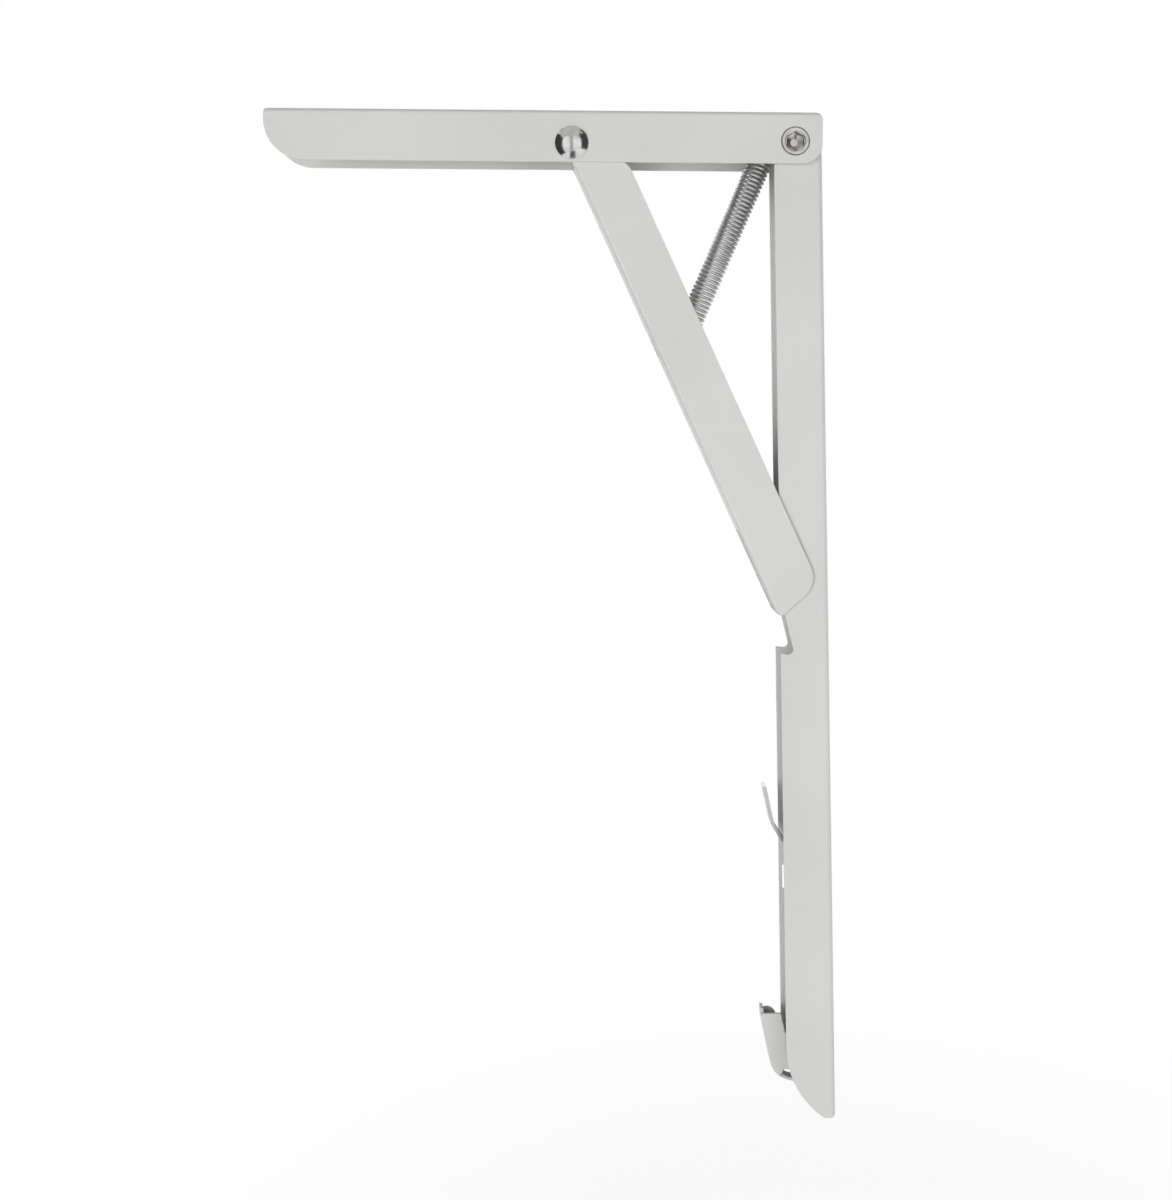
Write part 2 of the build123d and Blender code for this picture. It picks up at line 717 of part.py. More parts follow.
pieces = [
    wall_rail, shelf_arm, strut, pivot_barrel, pivot_screw, pivot_washer_near, pivot_washer_far,
    strut_rivet_near, strut_rivet_far, spring_post, lift_spring, lift_spring_loop, latch_bar, catch,
    catch_rivet_pair, guide_rivet_upper, guide_rivet_lower, return_spring, release_lever,
    lever_carrier, carrier_rivet_pair, lever_pin, lever_spacer_near, lever_spacer_far,
]
os.makedirs("parts", exist_ok=True)
for piece in pieces:
    export_step(piece.part, f"parts/{piece.part.label}.step")
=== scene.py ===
import json
import math

import bmesh
import bpy
from mathutils import Matrix, Vector


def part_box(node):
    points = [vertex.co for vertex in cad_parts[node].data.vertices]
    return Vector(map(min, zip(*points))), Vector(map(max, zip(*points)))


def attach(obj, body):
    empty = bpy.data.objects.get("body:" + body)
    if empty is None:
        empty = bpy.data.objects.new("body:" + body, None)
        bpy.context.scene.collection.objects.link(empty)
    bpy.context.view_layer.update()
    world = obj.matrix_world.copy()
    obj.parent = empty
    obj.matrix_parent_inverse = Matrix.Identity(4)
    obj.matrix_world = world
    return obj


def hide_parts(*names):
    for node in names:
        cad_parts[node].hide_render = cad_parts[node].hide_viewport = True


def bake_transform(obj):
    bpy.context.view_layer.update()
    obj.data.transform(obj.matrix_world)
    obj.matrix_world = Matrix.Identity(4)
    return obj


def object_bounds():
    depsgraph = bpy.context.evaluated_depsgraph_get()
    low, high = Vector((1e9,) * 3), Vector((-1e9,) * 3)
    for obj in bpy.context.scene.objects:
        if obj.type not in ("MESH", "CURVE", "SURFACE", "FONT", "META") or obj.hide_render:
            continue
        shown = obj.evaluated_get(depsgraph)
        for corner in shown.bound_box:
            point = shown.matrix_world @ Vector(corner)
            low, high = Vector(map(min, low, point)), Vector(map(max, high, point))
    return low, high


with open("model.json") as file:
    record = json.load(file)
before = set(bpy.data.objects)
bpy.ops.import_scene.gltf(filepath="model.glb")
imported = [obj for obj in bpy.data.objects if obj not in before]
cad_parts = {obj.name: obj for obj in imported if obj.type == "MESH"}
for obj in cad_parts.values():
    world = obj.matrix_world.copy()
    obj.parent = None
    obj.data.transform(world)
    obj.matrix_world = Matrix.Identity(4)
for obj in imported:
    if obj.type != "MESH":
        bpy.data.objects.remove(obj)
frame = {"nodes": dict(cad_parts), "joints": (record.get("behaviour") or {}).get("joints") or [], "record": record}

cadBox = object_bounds()
cadNodes = frame["nodes"]
joints = {joint["name"]: joint for joint in frame["joints"]}
print("frame loaded,", len(cadNodes), "parts")


def addObject(name, data):
    added = bpy.data.objects.new(name, data)
    bpy.context.scene.collection.objects.link(added)
    return added


def emptyTree(holder):  # of a material or the world
    holder.use_nodes = True
    holder.node_tree.nodes.clear()
    return holder.node_tree


def addNode(tree, kind, place, **values):
    node = tree.nodes.new(kind)
    node.location = place
    for name, value in values.items():
        setattr(node, name, value)
    return node


def setInputs(node, values):
    for name, value in values.items():
        node.inputs[name].default_value = value


def feed(tree, item, socket):  # links another socket, sets anything else
    if isinstance(item, bpy.types.NodeSocket):
        tree.links.new(item, socket)
    else:
        socket.default_value = item


def newGroup(name, inputs, outputs):
    group = bpy.data.node_groups.new(name, "ShaderNodeTree")
    for label, kind, value in inputs:
        group.interface.new_socket(name=label, in_out="INPUT", socket_type=kind).default_value = value
    for label, kind in outputs:
        group.interface.new_socket(name=label, in_out="OUTPUT", socket_type=kind)
    return group, addNode(group, "NodeGroupInput", (-900, 0)), addNode(group, "NodeGroupOutput", (700, 0))


def useGroup(tree, group, place, values):
    node = addNode(tree, "ShaderNodeGroup", place, node_tree=group)
    setInputs(node, values)
    return node


def addMath(tree, operation, first, second, place):
    node = addNode(tree, "ShaderNodeMath", place, operation=operation)
    feed(tree, first, node.inputs[0])
    feed(tree, second, node.inputs[1])
    return node.outputs[0]


def addNoise(tree, size, detail, place):  # size is that of one patch, in metres
    coords = addNode(tree, "ShaderNodeTexCoord", (place[0] - 400, place[1]))
    noise = addNode(tree, "ShaderNodeTexNoise", place)
    noise.inputs["Detail"].default_value = detail
    tree.links.new(coords.outputs["Object"], noise.inputs["Vector"])
    scale = addMath(tree, "DIVIDE", 1.0, size, (place[0] - 200, place[1] - 200))
    tree.links.new(scale, noise.inputs["Scale"])
    return noise.outputs["Fac"]


def addRange(tree, value, old, new, place, curve="SMOOTHSTEP"):  # old and new are the two ends of each range
    node = addNode(tree, "ShaderNodeMapRange", place, interpolation_type=curve)
    for name, item in zip(("Value", "From Min", "From Max", "To Min", "To Max"), (value, *old, *new)):
        feed(tree, item, node.inputs[name])
    return node.outputs["Result"]


def addMix(tree, factor, first, second, place):
    node = addNode(tree, "ShaderNodeMix", place, data_type="RGBA")
    feed(tree, factor, node.inputs[0])
    feed(tree, first, node.inputs[6])  # 6 and 7 are the two colours
    feed(tree, second, node.inputs[7])
    return node.outputs[2]


bevelSamples = 6  # rays that look for an edge

# painted highlight along the paint's outside edges: how the edges are found and broken into patches
edgeHighlight = {
    "bend": (0.995, 0.85),  # cosine between the true and the rounded normal, from no painted highlight to the full painted highlight
    "patchDetail": 4.0,
    "patchRange": (0.45, 0.6),
}


# mask of the outside edges, broken up by noise, where the paint gets a lighter painted highlight
def makeEdgeGroup(look):
    group, entry, leave = newGroup(
        "edgeMask",
        [("Width", "NodeSocketFloat", 0.0006), ("Patch Size", "NodeSocketFloat", 0.01),
         ("Patchiness", "NodeSocketFloat", 0.5)],
        [("Mask", "NodeSocketFloat")],
    )
    bevel = addNode(group, "ShaderNodeBevel", (-600, 200), samples=bevelSamples)
    group.links.new(entry.outputs["Width"], bevel.inputs["Radius"])
    geometry = addNode(group, "ShaderNodeNewGeometry", (-600, -50))
    dot = addNode(group, "ShaderNodeVectorMath", (-400, 100), operation="DOT_PRODUCT")
    group.links.new(bevel.outputs[0], dot.inputs[0])
    group.links.new(geometry.outputs["Normal"], dot.inputs[1])
    edge = addRange(group, dot.outputs["Value"], look["bend"], (0.0, 1.0), (-150, 100))
    patch = addNoise(group, entry.outputs["Patch Size"], look["patchDetail"], (-150, -250))
    broken = addRange(group, patch, look["patchRange"], (0.0, 1.0), (50, -250))
    kept = addMix(group, entry.outputs["Patchiness"], (1, 1, 1, 1), broken, (250, -150))
    group.links.new(addMath(group, "MULTIPLY", edge, kept, (450, 0)), leave.inputs["Mask"])
    return group


mottling = {
    "driftDetail": 5.0,
    "driftRange": (0.3, 0.7),  # the noise here runs from the one tone to the other
    "grainDetail": 3.0,
    "grainShare": 0.5,  # of the change in roughness, the drift makes the rest
    "roughRange": (0.2, 0.8),
}


# two tones drifting into each other, with a roughness and a height that go with them
def makeMottleGroup(look):
    group, entry, leave = newGroup(
        "mottle",
        [("Tone A", "NodeSocketColor", (1, 1, 1, 1)), ("Tone B", "NodeSocketColor", (0.8, 0.8, 0.8, 1)),
         ("Size", "NodeSocketFloat", 0.05), ("Grain Size", "NodeSocketFloat", 0.001),
         ("Rough Low", "NodeSocketFloat", 0.35), ("Rough High", "NodeSocketFloat", 0.45)],
        [("Color", "NodeSocketColor"), ("Roughness", "NodeSocketFloat"), ("Height", "NodeSocketFloat")],
    )
    drift = addNoise(group, entry.outputs["Size"], look["driftDetail"], (-300, 250))
    spread = addRange(group, drift, look["driftRange"], (0.0, 1.0), (-50, 250))
    color = addMix(group, spread, entry.outputs["Tone A"], entry.outputs["Tone B"], (250, 250))
    grain = addNoise(group, entry.outputs["Grain Size"], look["grainDetail"], (-300, -150))
    driftPart = addMath(group, "MULTIPLY", spread, 1 - look["grainShare"], (50, 0))
    grainPart = addMath(group, "MULTIPLY", grain, look["grainShare"], (50, -150))
    both = addMath(group, "ADD", driftPart, grainPart, (250, -50))
    ends = (entry.outputs["Rough Low"], entry.outputs["Rough High"])
    rough = addRange(group, both, look["roughRange"], ends, (450, -50), "LINEAR")
    group.links.new(color, leave.inputs["Color"])
    group.links.new(rough, leave.inputs["Roughness"])
    group.links.new(grain, leave.inputs["Height"])
    return group


turning = {
    "detail": 2.0,
    "depth": 0.00003,
    "strength": 0.5,
}


# fine turning marks about an axis along Y
def makeRingGroup(look):
    group, entry, leave = newGroup(
        "turningMarks",
        [("Centre", "NodeSocketVector", (0, 0, 0)), ("Pitch", "NodeSocketFloat", 0.0003)],
        [("Height", "NodeSocketFloat")],
    )
    coords = addNode(group, "ShaderNodeTexCoord", (-700, 0))
    offset = addNode(group, "ShaderNodeVectorMath", (-500, 0), operation="SUBTRACT")
    group.links.new(coords.outputs["Object"], offset.inputs[0])
    group.links.new(entry.outputs["Centre"], offset.inputs[1])
    flat = addNode(group, "ShaderNodeVectorMath", (-300, 0), operation="MULTIPLY")
    flat.inputs[1].default_value = (1, 0, 1)
    group.links.new(offset.outputs[0], flat.inputs[0])
    radius = addNode(group, "ShaderNodeVectorMath", (-100, 0), operation="LENGTH")
    group.links.new(flat.outputs[0], radius.inputs[0])
    turns = addMath(group, "DIVIDE", radius.outputs["Value"], entry.outputs["Pitch"], (100, 0))
    noise = addNode(group, "ShaderNodeTexNoise", (300, 0), noise_dimensions="1D")
    setInputs(noise, {"Scale": 1.0, "Detail": look["detail"]})
    group.links.new(turns, noise.inputs["W"])
    group.links.new(noise.outputs["Fac"], leave.inputs["Height"])
    return group


edgeMask = makeEdgeGroup(edgeHighlight)
mottle = makeMottleGroup(mottling)
turningMarks = makeRingGroup(turning)
print("shared effects ready")


def startMaterial(name):
    material = bpy.data.materials.new(name)
    tree = emptyTree(material)
    shader = addNode(tree, "ShaderNodeBsdfPrincipled", (600, 0))
    output = addNode(tree, "ShaderNodeOutputMaterial", (900, 0))
    tree.links.new(shader.outputs[0], output.inputs["Surface"])
    return material, tree, shader


def addMottle(tree, look):
    return useGroup(tree, mottle, (-300, 200), {
        "Tone A": look["toneA"], "Tone B": look["toneB"], "Size": look["driftSize"],
        "Grain Size": look["grainSize"], "Rough Low": look["roughLow"], "Rough High": look["roughHigh"]})


def addBump(tree, height, under, distance, strength, place):  # under is the normal that it stands on
    bump = addNode(tree, "ShaderNodeBump", place)
    setInputs(bump, {"Distance": distance, "Strength": strength})
    tree.links.new(height, bump.inputs["Height"])
    tree.links.new(under, bump.inputs["Normal"])
    return bump.outputs[0]


def addGrain(tree, height, look):  # the surface's grain, over edges rounded by a small radius
    rounded = addNode(tree, "ShaderNodeBevel", (-100, -450), samples=bevelSamples)
    rounded.inputs["Radius"].default_value = look["edgeRound"]
    return addBump(tree, height, rounded.outputs[0], look["grainHeight"], look["grainStrength"], (100, -300))


greyPaint = {
    "toneA": (0.655, 0.655, 0.640, 1),
    "toneB": (0.625, 0.625, 0.610, 1),
    "driftSize": 0.09,
    "grainSize": 0.0011,  # orange peel of the powder coat
    "grainHeight": 0.00004,
    "grainStrength": 0.6,
    "roughLow": 0.36,
    "roughHigh": 0.46,
    "specular": 0.45,
    "coat": 0.4,
    "coatRough": 0.15,
    # lighter grey of the painted highlight on the outside edges
    "edgeHighlightTone": (0.72, 0.72, 0.71, 1),
    "edgeWidth": 0.0005,
    "edgePatch": 0.008,
    "edgePatchiness": 0.6,
    "edgeRound": 0.0003,
}


def makePaint(name, look):
    material, tree, shader = startMaterial(name)
    coat = addMottle(tree, look)
    edge = useGroup(tree, edgeMask, (-300, -200), {
        "Width": look["edgeWidth"], "Patch Size": look["edgePatch"], "Patchiness": look["edgePatchiness"]})
    # painted highlight: the outside edges take the lighter edge tone
    color = addMix(tree, edge.outputs["Mask"], coat.outputs["Color"], look["edgeHighlightTone"], (100, 200))
    tree.links.new(color, shader.inputs["Base Color"])
    tree.links.new(coat.outputs["Roughness"], shader.inputs["Roughness"])
    tree.links.new(addGrain(tree, coat.outputs["Height"], look), shader.inputs["Normal"])
    setInputs(shader, {"Metallic": 0.0, "Specular IOR Level": look["specular"],
                       "Coat Weight": look["coat"], "Coat Roughness": look["coatRough"]})
    return material


metalLooks = {
    "polishedChrome": {
        "toneA": (0.72, 0.72, 0.71, 1), "toneB": (0.62, 0.62, 0.61, 1),
        "driftSize": 0.004, "grainSize": 0.003, "grainHeight": 0.00006, "grainStrength": 0.5,
        "roughLow": 0.13, "roughHigh": 0.2, "edgeRound": 0.0002,
    },
    "satinNickel": {
        "toneA": (0.66, 0.65, 0.62, 1), "toneB": (0.58, 0.57, 0.54, 1),
        "driftSize": 0.006, "grainSize": 0.0006, "grainHeight": 0.00001, "grainStrength": 0.5,
        "roughLow": 0.22, "roughHigh": 0.34, "edgeRound": 0.0004, "ringPitch": 0.00035,
    },
    "zincPlate": {
        "toneA": (0.63, 0.64, 0.66, 1), "toneB": (0.52, 0.53, 0.55, 1),
        "driftSize": 0.012, "grainSize": 0.0008, "grainHeight": 0.00001, "grainStrength": 0.5,
        "roughLow": 0.28, "roughHigh": 0.42, "edgeRound": 0.0002,
    },
    "springWire": {
        "toneA": (0.78, 0.78, 0.77, 1), "toneB": (0.66, 0.66, 0.65, 1),
        "driftSize": 0.004, "grainSize": 0.0005, "grainHeight": 0.000008, "grainStrength": 0.5,
        "roughLow": 0.34, "roughHigh": 0.46, "edgeRound": 0.0001,
    },
    "springStrip": {
        "toneA": (0.93, 0.93, 0.92, 1), "toneB": (0.88, 0.88, 0.87, 1),
        "driftSize": 0.02, "grainSize": 0.0008, "grainHeight": 0.00001, "grainStrength": 0.5,
        "roughLow": 0.42, "roughHigh": 0.52, "edgeRound": 0.0002,
    },
}


def makeMetal(name, look, centre=None):  # turning marks run round the centre where one is given
    material, tree, shader = startMaterial(name)
    plate = addMottle(tree, look)
    normal = addGrain(tree, plate.outputs["Height"], look)
    if centre is not None:
        marks = useGroup(tree, turningMarks, (-300, -250), {"Centre": centre, "Pitch": look["ringPitch"]})
        height = marks.outputs["Height"]
        normal = addBump(tree, height, normal, turning["depth"], turning["strength"], (350, -300))
    tree.links.new(plate.outputs["Color"], shader.inputs["Base Color"])
    tree.links.new(plate.outputs["Roughness"], shader.inputs["Roughness"])
    tree.links.new(normal, shader.inputs["Normal"])
    setInputs(shader, {"Metallic": 1.0})
    return material


pivotLow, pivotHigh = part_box("pivot_barrel")
pivotCentre = tuple((pivotLow + pivotHigh) / 2)
finishes = {
    "greyPaint": makePaint("greyPaint", greyPaint),
    "satinNickel": makeMetal("satinNickel", metalLooks["satinNickel"], pivotCentre),
}
for finishName in ("polishedChrome", "zincPlate", "springWire", "springStrip"):
    finishes[finishName] = makeMetal(finishName, metalLooks[finishName])

slotFinish = {
    "grey_paint": "greyPaint",
    "polished_chrome": "polishedChrome",
    "satin_nickel": "satinNickel",
    "zinc_plate": "zincPlate",
    "zinc_wire": "springWire",
    "spring_steel": "springStrip",
}
for subpart in frame["record"]["subparts"]:
    node = cadNodes[subpart["node"]]
    node.data.materials.clear()
    node.data.materials.append(finishes[slotFinish[subpart["material_slot"]]])
print("finishes placed on the parts")


# a round wire through the points, its rings turned as little as possible, ends closed
def makeWire(name, points, look):
    sides = look["sides"]
    vertices, faces = [], []
    tangents = []
    for index in range(len(points)):
        before, after = points[max(index - 1, 0)], points[min(index + 1, len(points) - 1)]
        tangents.append((after - before).normalized())
    side = tangents[0].orthogonal().normalized()
    for point, tangent in zip(points, tangents):
        side = (side - tangent * side.dot(tangent)).normalized()
        other = tangent.cross(side)
        for step in range(sides):
            angle = 2 * math.pi * step / sides
            vertices.append(point + look["wire"] / 2 * (math.cos(angle) * side + math.sin(angle) * other))
    for ring in range(len(points) - 1):
        for step in range(sides):
            following = (step + 1) % sides
            faces.append((ring * sides + step, ring * sides + following,
                          (ring + 1) * sides + following, (ring + 1) * sides + step))
    last = (len(points) - 1) * sides
    faces.append(tuple(reversed(range(sides))))
    faces.append(tuple(range(last, last + sides)))
    mesh = bpy.data.meshes.new(name)
    mesh.from_pydata(vertices, [], faces)
    mesh.polygons.foreach_set("use_smooth", [len(face) == 4 for face in faces])
    mesh.update()
    mesh.materials.append(finishes["springWire"])
    return addObject(name, mesh)


def smoothRun(points, steps):  # a soft curve through all the given points
    run = []
    padded = [points[0] * 2 - points[1], *points, points[-1] * 2 - points[-2]]
    for index in range(1, len(padded) - 2):
        before, start, end, after = padded[index - 1:index + 3]
        for step in range(steps):
            share = step / steps
            run.append(0.5 * (2 * start + (end - before) * share
                              + (2 * before - 5 * start + 4 * end - after) * share ** 2
                              + (3 * start - before - 3 * end + after) * share ** 3))
    run.append(points[-1])
    return run


def ringPoints(centre, across, along, radius, arc, steps):  # arc is from one angle to another, in degrees
    ring = []
    for step in range(steps + 1):
        angle = math.radians(arc[0] + (arc[1] - arc[0]) * step / steps)
        ring.append(centre + radius * (math.cos(angle) * across + math.sin(angle) * along))
    return ring


def coilTurns(look, start, turns, radius, at):  # at makes a point of distances out, beside and along
    coil = []
    for step in range(turns * look["stepsPerTurn"] + 1):
        turn = 2 * math.pi * step / look["stepsPerTurn"]
        along = start + look["pitch"] * step / look["stepsPerTurn"]
        coil.append(at(radius * math.cos(turn), radius * math.sin(turn), along))
    return coil


liftSpring = {
    "wire": 0.0019,
    "coil": 0.0134,  # outside
    "pitch": 0.00238,
    "shank": 0.0202,  # post to first turn
    "runOut": 0.014,  # last turn to anchor, at least
    "offset": 0.0017,  # coil axis forward of the line from hook to loop, at the first turn
    "offsetEnd": 0.0005,  # and at the last, clear of the strut when folded
    "hook": 0.00255,
    "hookArc": (200, -30),
    "hookSteps": 14,
    "neck": 0.001,  # hook to the straight wire below it
    "bendIn": 0.005,  # straight wire to first turn
    "bendInMiddle": 0.0022,
    "bendInShare": 0.6,  # of the coil's radius, how far out the middle of that bend is
    "bendOut": 0.0042,  # last turn to straight wire
    "bendOutMiddle": 0.0018,
    "bendOutShare": 0.5,
    "straightOut": 0.006,
    "loop": 0.0029,
    "loopArc": (90, -240),
    "loopSteps": 20,
    "bendSteps": 3,
    "stepsPerTurn": 24,
    "sides": 10,
}


def makeLiftSpring(look):
    swing, stretch = joints["spring_swing"], joints["spring_stretch"]
    post, axis = Vector(swing["pos_m"]), Vector(stretch["axis"]).normalized()
    across = Vector((-axis.z, 0, axis.x))
    sideways = axis.cross(across)
    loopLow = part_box("lift_spring_loop")[0]
    length = (post.z - (loopLow.z + look["wire"] / 2 + look["loop"])) / -axis.z  # post to the loop's centre
    radius = (look["coil"] - look["wire"]) / 2
    turns = int((length - look["runOut"] - look["shank"]) / look["pitch"])
    coilEnd = look["shank"] + turns * look["pitch"]

    def at(out, beside, along):
        return post + across * out + sideways * beside + axis * along

    def onCoil(out, beside, along):  # from the coil's own axis
        share = (along - look["shank"]) / (coilEnd - look["shank"])
        return at(out - look["offset"] - (look["offsetEnd"] - look["offset"]) * share, beside, along)

    hook = ringPoints(post, across, -axis, look["hook"], look["hookArc"], look["hookSteps"])
    leadIn = [at(0, 0, 2 * look["hook"] + look["neck"]), at(0, 0, look["shank"] - look["bendIn"]),
              at(radius * look["bendInShare"] - look["offset"], 0, look["shank"] - look["bendInMiddle"])]
    leadOut = [at(radius * look["bendOutShare"] - look["offsetEnd"], 0, coilEnd + look["bendOutMiddle"]),
               at(0, 0, coilEnd + look["bendOut"]), at(0, 0, coilEnd + look["straightOut"])]
    loop = ringPoints(at(0, 0, length), across, -axis, look["loop"], look["loopArc"], look["loopSteps"])
    coil = coilTurns(look, look["shank"], turns, radius, onCoil)
    points = smoothRun(hook + leadIn, look["bendSteps"]) + coil + smoothRun(leadOut + loop, look["bendSteps"])
    piece = makeWire("liftSpringWire", points, look)
    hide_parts("lift_spring", "lift_spring_loop")
    tuple(at(0, 0, look["shank"]))
    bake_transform(piece)


makeLiftSpring(liftSpring)

returnSpring = {
    "wire": 0.0008,
    "coil": 0.0042,  # through the middle of the wire
    "pitch": 0.0012,
    "turns": 18,
    "start": 0.006,  # centre of the top ring to first turn
    "end": 0.0354,  # and to the foot
    "ring": 0.00215,
    "ringArc": (220, -20),
    "ringSteps": 12,
    "bendIn": 0.0024,  # straight wire to first turn
    "bendInMiddle": 0.0008,
    "bendInShare": 0.6,
    "bendOut": 0.0025,  # last turn to straight wire
    "bendOutMiddle": 0.001,
    "bendOutShare": 0.5,
    "foot": 0.001,  # the last bend, out to the bar
    "footReach": 0.0021,  # how far it goes out
    "bendInSteps": 2,
    "bendOutSteps": 3,
    "stepsPerTurn": 20,
    "sides": 8,
}


def makeReturnSpring(look):
    low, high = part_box("return_spring")
    down = Vector((0, 0, -1))
    across = Vector((0, 1, 0))
    forward = Vector((-1, 0, 0))
    top = Vector(((low.x + high.x) / 2, 0, high.z - look["ring"] - look["wire"] / 2))
    radius = look["coil"] / 2
    coilEnd = look["start"] + look["pitch"] * look["turns"]

    def at(out, beside, along):
        return top + across * out + forward * beside + down * along

    ring = ringPoints(top, across, -down, look["ring"], look["ringArc"], look["ringSteps"])
    leadIn = [at(0, 0, look["start"] - look["bendIn"]),
              at(radius * look["bendInShare"], 0, look["start"] - look["bendInMiddle"])]
    leadOut = [at(radius * look["bendOutShare"], 0, coilEnd + look["bendOutMiddle"]),
               at(0, 0, coilEnd + look["bendOut"]), at(0, 0, look["end"] - look["foot"]),
               at(look["footReach"], 0, look["end"])]
    coil = coilTurns(look, look["start"], look["turns"], radius, at)
    points = smoothRun(ring + leadIn, look["bendInSteps"]) + coil + smoothRun(leadOut, look["bendOutSteps"])
    piece = makeWire("returnSpringWire", points, look)
    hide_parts("return_spring")
    tuple(at(0, 0, look["start"]))
    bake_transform(piece)


makeReturnSpring(returnSpring)
print("springs wound")


def roundedLine(corners, steps=8):  # corners as (x, z, radius), each rounded to its radius
    line = []
    for index, (x, z, radius) in enumerate(corners):
        corner = Vector((x, z))
        if radius == 0:
            line.append(corner)
            continue
        before = (Vector(corners[index - 1][:2]) - corner).normalized()
        after = (Vector(corners[index + 1][:2]) - corner).normalized()
        half = before.angle(after) / 2
        centre = corner + (before + after).normalized() * radius / math.sin(half)
        start = corner + before * radius / math.tan(half) - centre
        end = corner + after * radius / math.tan(half) - centre
        for step in range(steps + 1):
            share = step / steps
            line.append(centre + (start * (1 - share) + end * share).normalized() * radius)
    return line


def stripSides(corners, thickness):  # both faces of a bent strip, from its middle line
    middle = roundedLine(corners)
    inside, outside = [], []
    for index, point in enumerate(middle):
        along = (middle[min(index + 1, len(middle) - 1)] - middle[max(index - 1, 0)]).normalized()
        out = Vector((along.y, -along.x)) * thickness / 2
        inside.append(point - out)
        outside.append(point + out)
    return inside, outside


def arcLine(radius, startAngle, endAngle, steps):
    angles = [math.radians(startAngle + (endAngle - startAngle) * step / steps) for step in range(steps + 1)]
    return [Vector((radius * math.cos(angle), radius * math.sin(angle))) for angle in angles]


def plateMesh(outlines, low, high):  # an outline and its holes in the XZ plane, solid from low to high in Y
    curve = bpy.data.curves.new("plate", "CURVE")
    curve.dimensions = "2D"
    curve.fill_mode = "BOTH"
    curve.extrude = (high - low) / 2
    for outline in outlines:
        spline = curve.splines.new("POLY")
        spline.points.add(len(outline) - 1)
        for point, (x, z) in zip(spline.points, outline):
            point.co = (x, z, 0, 1)
        spline.use_cyclic_u = True
    holder = bpy.data.objects.new("plate", curve)
    mesh = bpy.data.meshes.new_from_object(holder)
    bpy.data.objects.remove(holder)
    mesh.transform(Matrix.Translation((0, (low + high) / 2, 0)) @ Matrix.Rotation(math.radians(90), 4, "X"))
    return mesh


def joinMeshes(name, meshes):
    joined = bmesh.new()
    for mesh in meshes:
        joined.from_mesh(mesh)
        bpy.data.meshes.remove(mesh)
    bmesh.ops.triangulate(joined, faces=joined.faces)
    whole = bpy.data.meshes.new(name)
    joined.to_mesh(whole)
    joined.free()
    return whole


# the outlines' corners are (x, z, radius) from the pin, and the front is toward minus X
releaseLever = {
    "sheet": 0.0015,
    "width": 0.010,
    "web": [(-0.0285, 0.0254, 0), (-0.0284, 0.0228, 0), (-0.0281, 0.0188, 0.015),
            (-0.0218, -0.01365, 0.0134), (-0.0105, -0.01365, 0)],
    "flangeTop": 0.0229,  # the flanges keep to the web's outer face below this
    "flangeFoot": -0.0188,  # and in front of this
    "lowerEdge": [(-0.0188, -0.0114, 0), (-0.0188, -0.0104, 0.0005),
                  (-0.0172, -0.0072, 0.001), (-0.0095, -0.0078, 0)],
    "nearTop": [(-0.0009, 0.0039, 0), (-0.0163, 0.0124, 0.002),
                (-0.0184, 0.0228, 0.0007), (-0.0284, 0.0228, 0)],
    "farTop": [(-0.0009, 0.0039, 0), (-0.0184, 0.0124, 0.002),
               (-0.0214, 0.0233, 0.0050), (-0.0284, 0.0233, 0)],
    "earRadius": 0.004,
    "earStart": 103,  # degrees round the pin, where the ear's arc meets the straight edges
    "earSteps": 20,
    "pinHole": 0.0021,
    "pinHoleSteps": 36,
    "edgeRound": 0.0011,
}


def makeReleaseLever(look):
    half = look["width"] / 2
    inner = half - look["sheet"]
    inside, outside = stripSides(look["web"], look["sheet"])
    bend = [point for point in outside if point.y < look["flangeTop"] and point.x < look["flangeFoot"]]
    ear = arcLine(look["earRadius"], -look["earStart"], look["earStart"], look["earSteps"])[1:-1]
    hole = arcLine(look["pinHole"], 0, 360, look["pinHoleSteps"])[:-1]
    plates = [plateMesh([inside + outside[::-1]], -inner, inner)]
    for top, low, high in ((look["nearTop"], -half, -inner), (look["farTop"], inner, half)):
        outline = bend + roundedLine(look["lowerEdge"]) + ear + roundedLine(top)[:-1]
        plates.append(plateMesh([outline, hole], low, high))
    piece = addObject("releaseLever", joinMeshes("releaseLever", plates))
    pinLow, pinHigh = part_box("lever_pin")
    piece.location = (pinLow + pinHigh) / 2
    piece.data.materials.append(makePaint("leverPaint", {**greyPaint, "edgeRound": look["edgeRound"]}))
    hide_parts("release_lever")
    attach(piece, "lever")


makeReleaseLever(releaseLever)
print("lever bent")


studio = {
    "floorDrop": 0.11,  # below the foot of the rail
    "floorSize": 14.0,
    "floorTone": (0.93, 0.93, 0.93, 1),
    "white": (0.9, 1.0),  # share of the floor's look that is plain white, under the part and further out
    "whiteRange": (0.15, 0.45),  # distance over which it grows
    "ambient": 0.2,  # the world's light on the part, whatever looks at the world sees 1
}


def addSeenRays(tree, place):  # 1 on rays that look at a surface directly or through gloss and glass
    rays = addNode(tree, "ShaderNodeLightPath", place)
    seen = addMath(tree, "MAXIMUM", rays.outputs["Is Camera Ray"], rays.outputs["Is Glossy Ray"],
                   (place[0] + 200, place[1]))
    return addMath(tree, "MAXIMUM", seen, rays.outputs["Is Transmission Ray"], (place[0] + 400, place[1]))


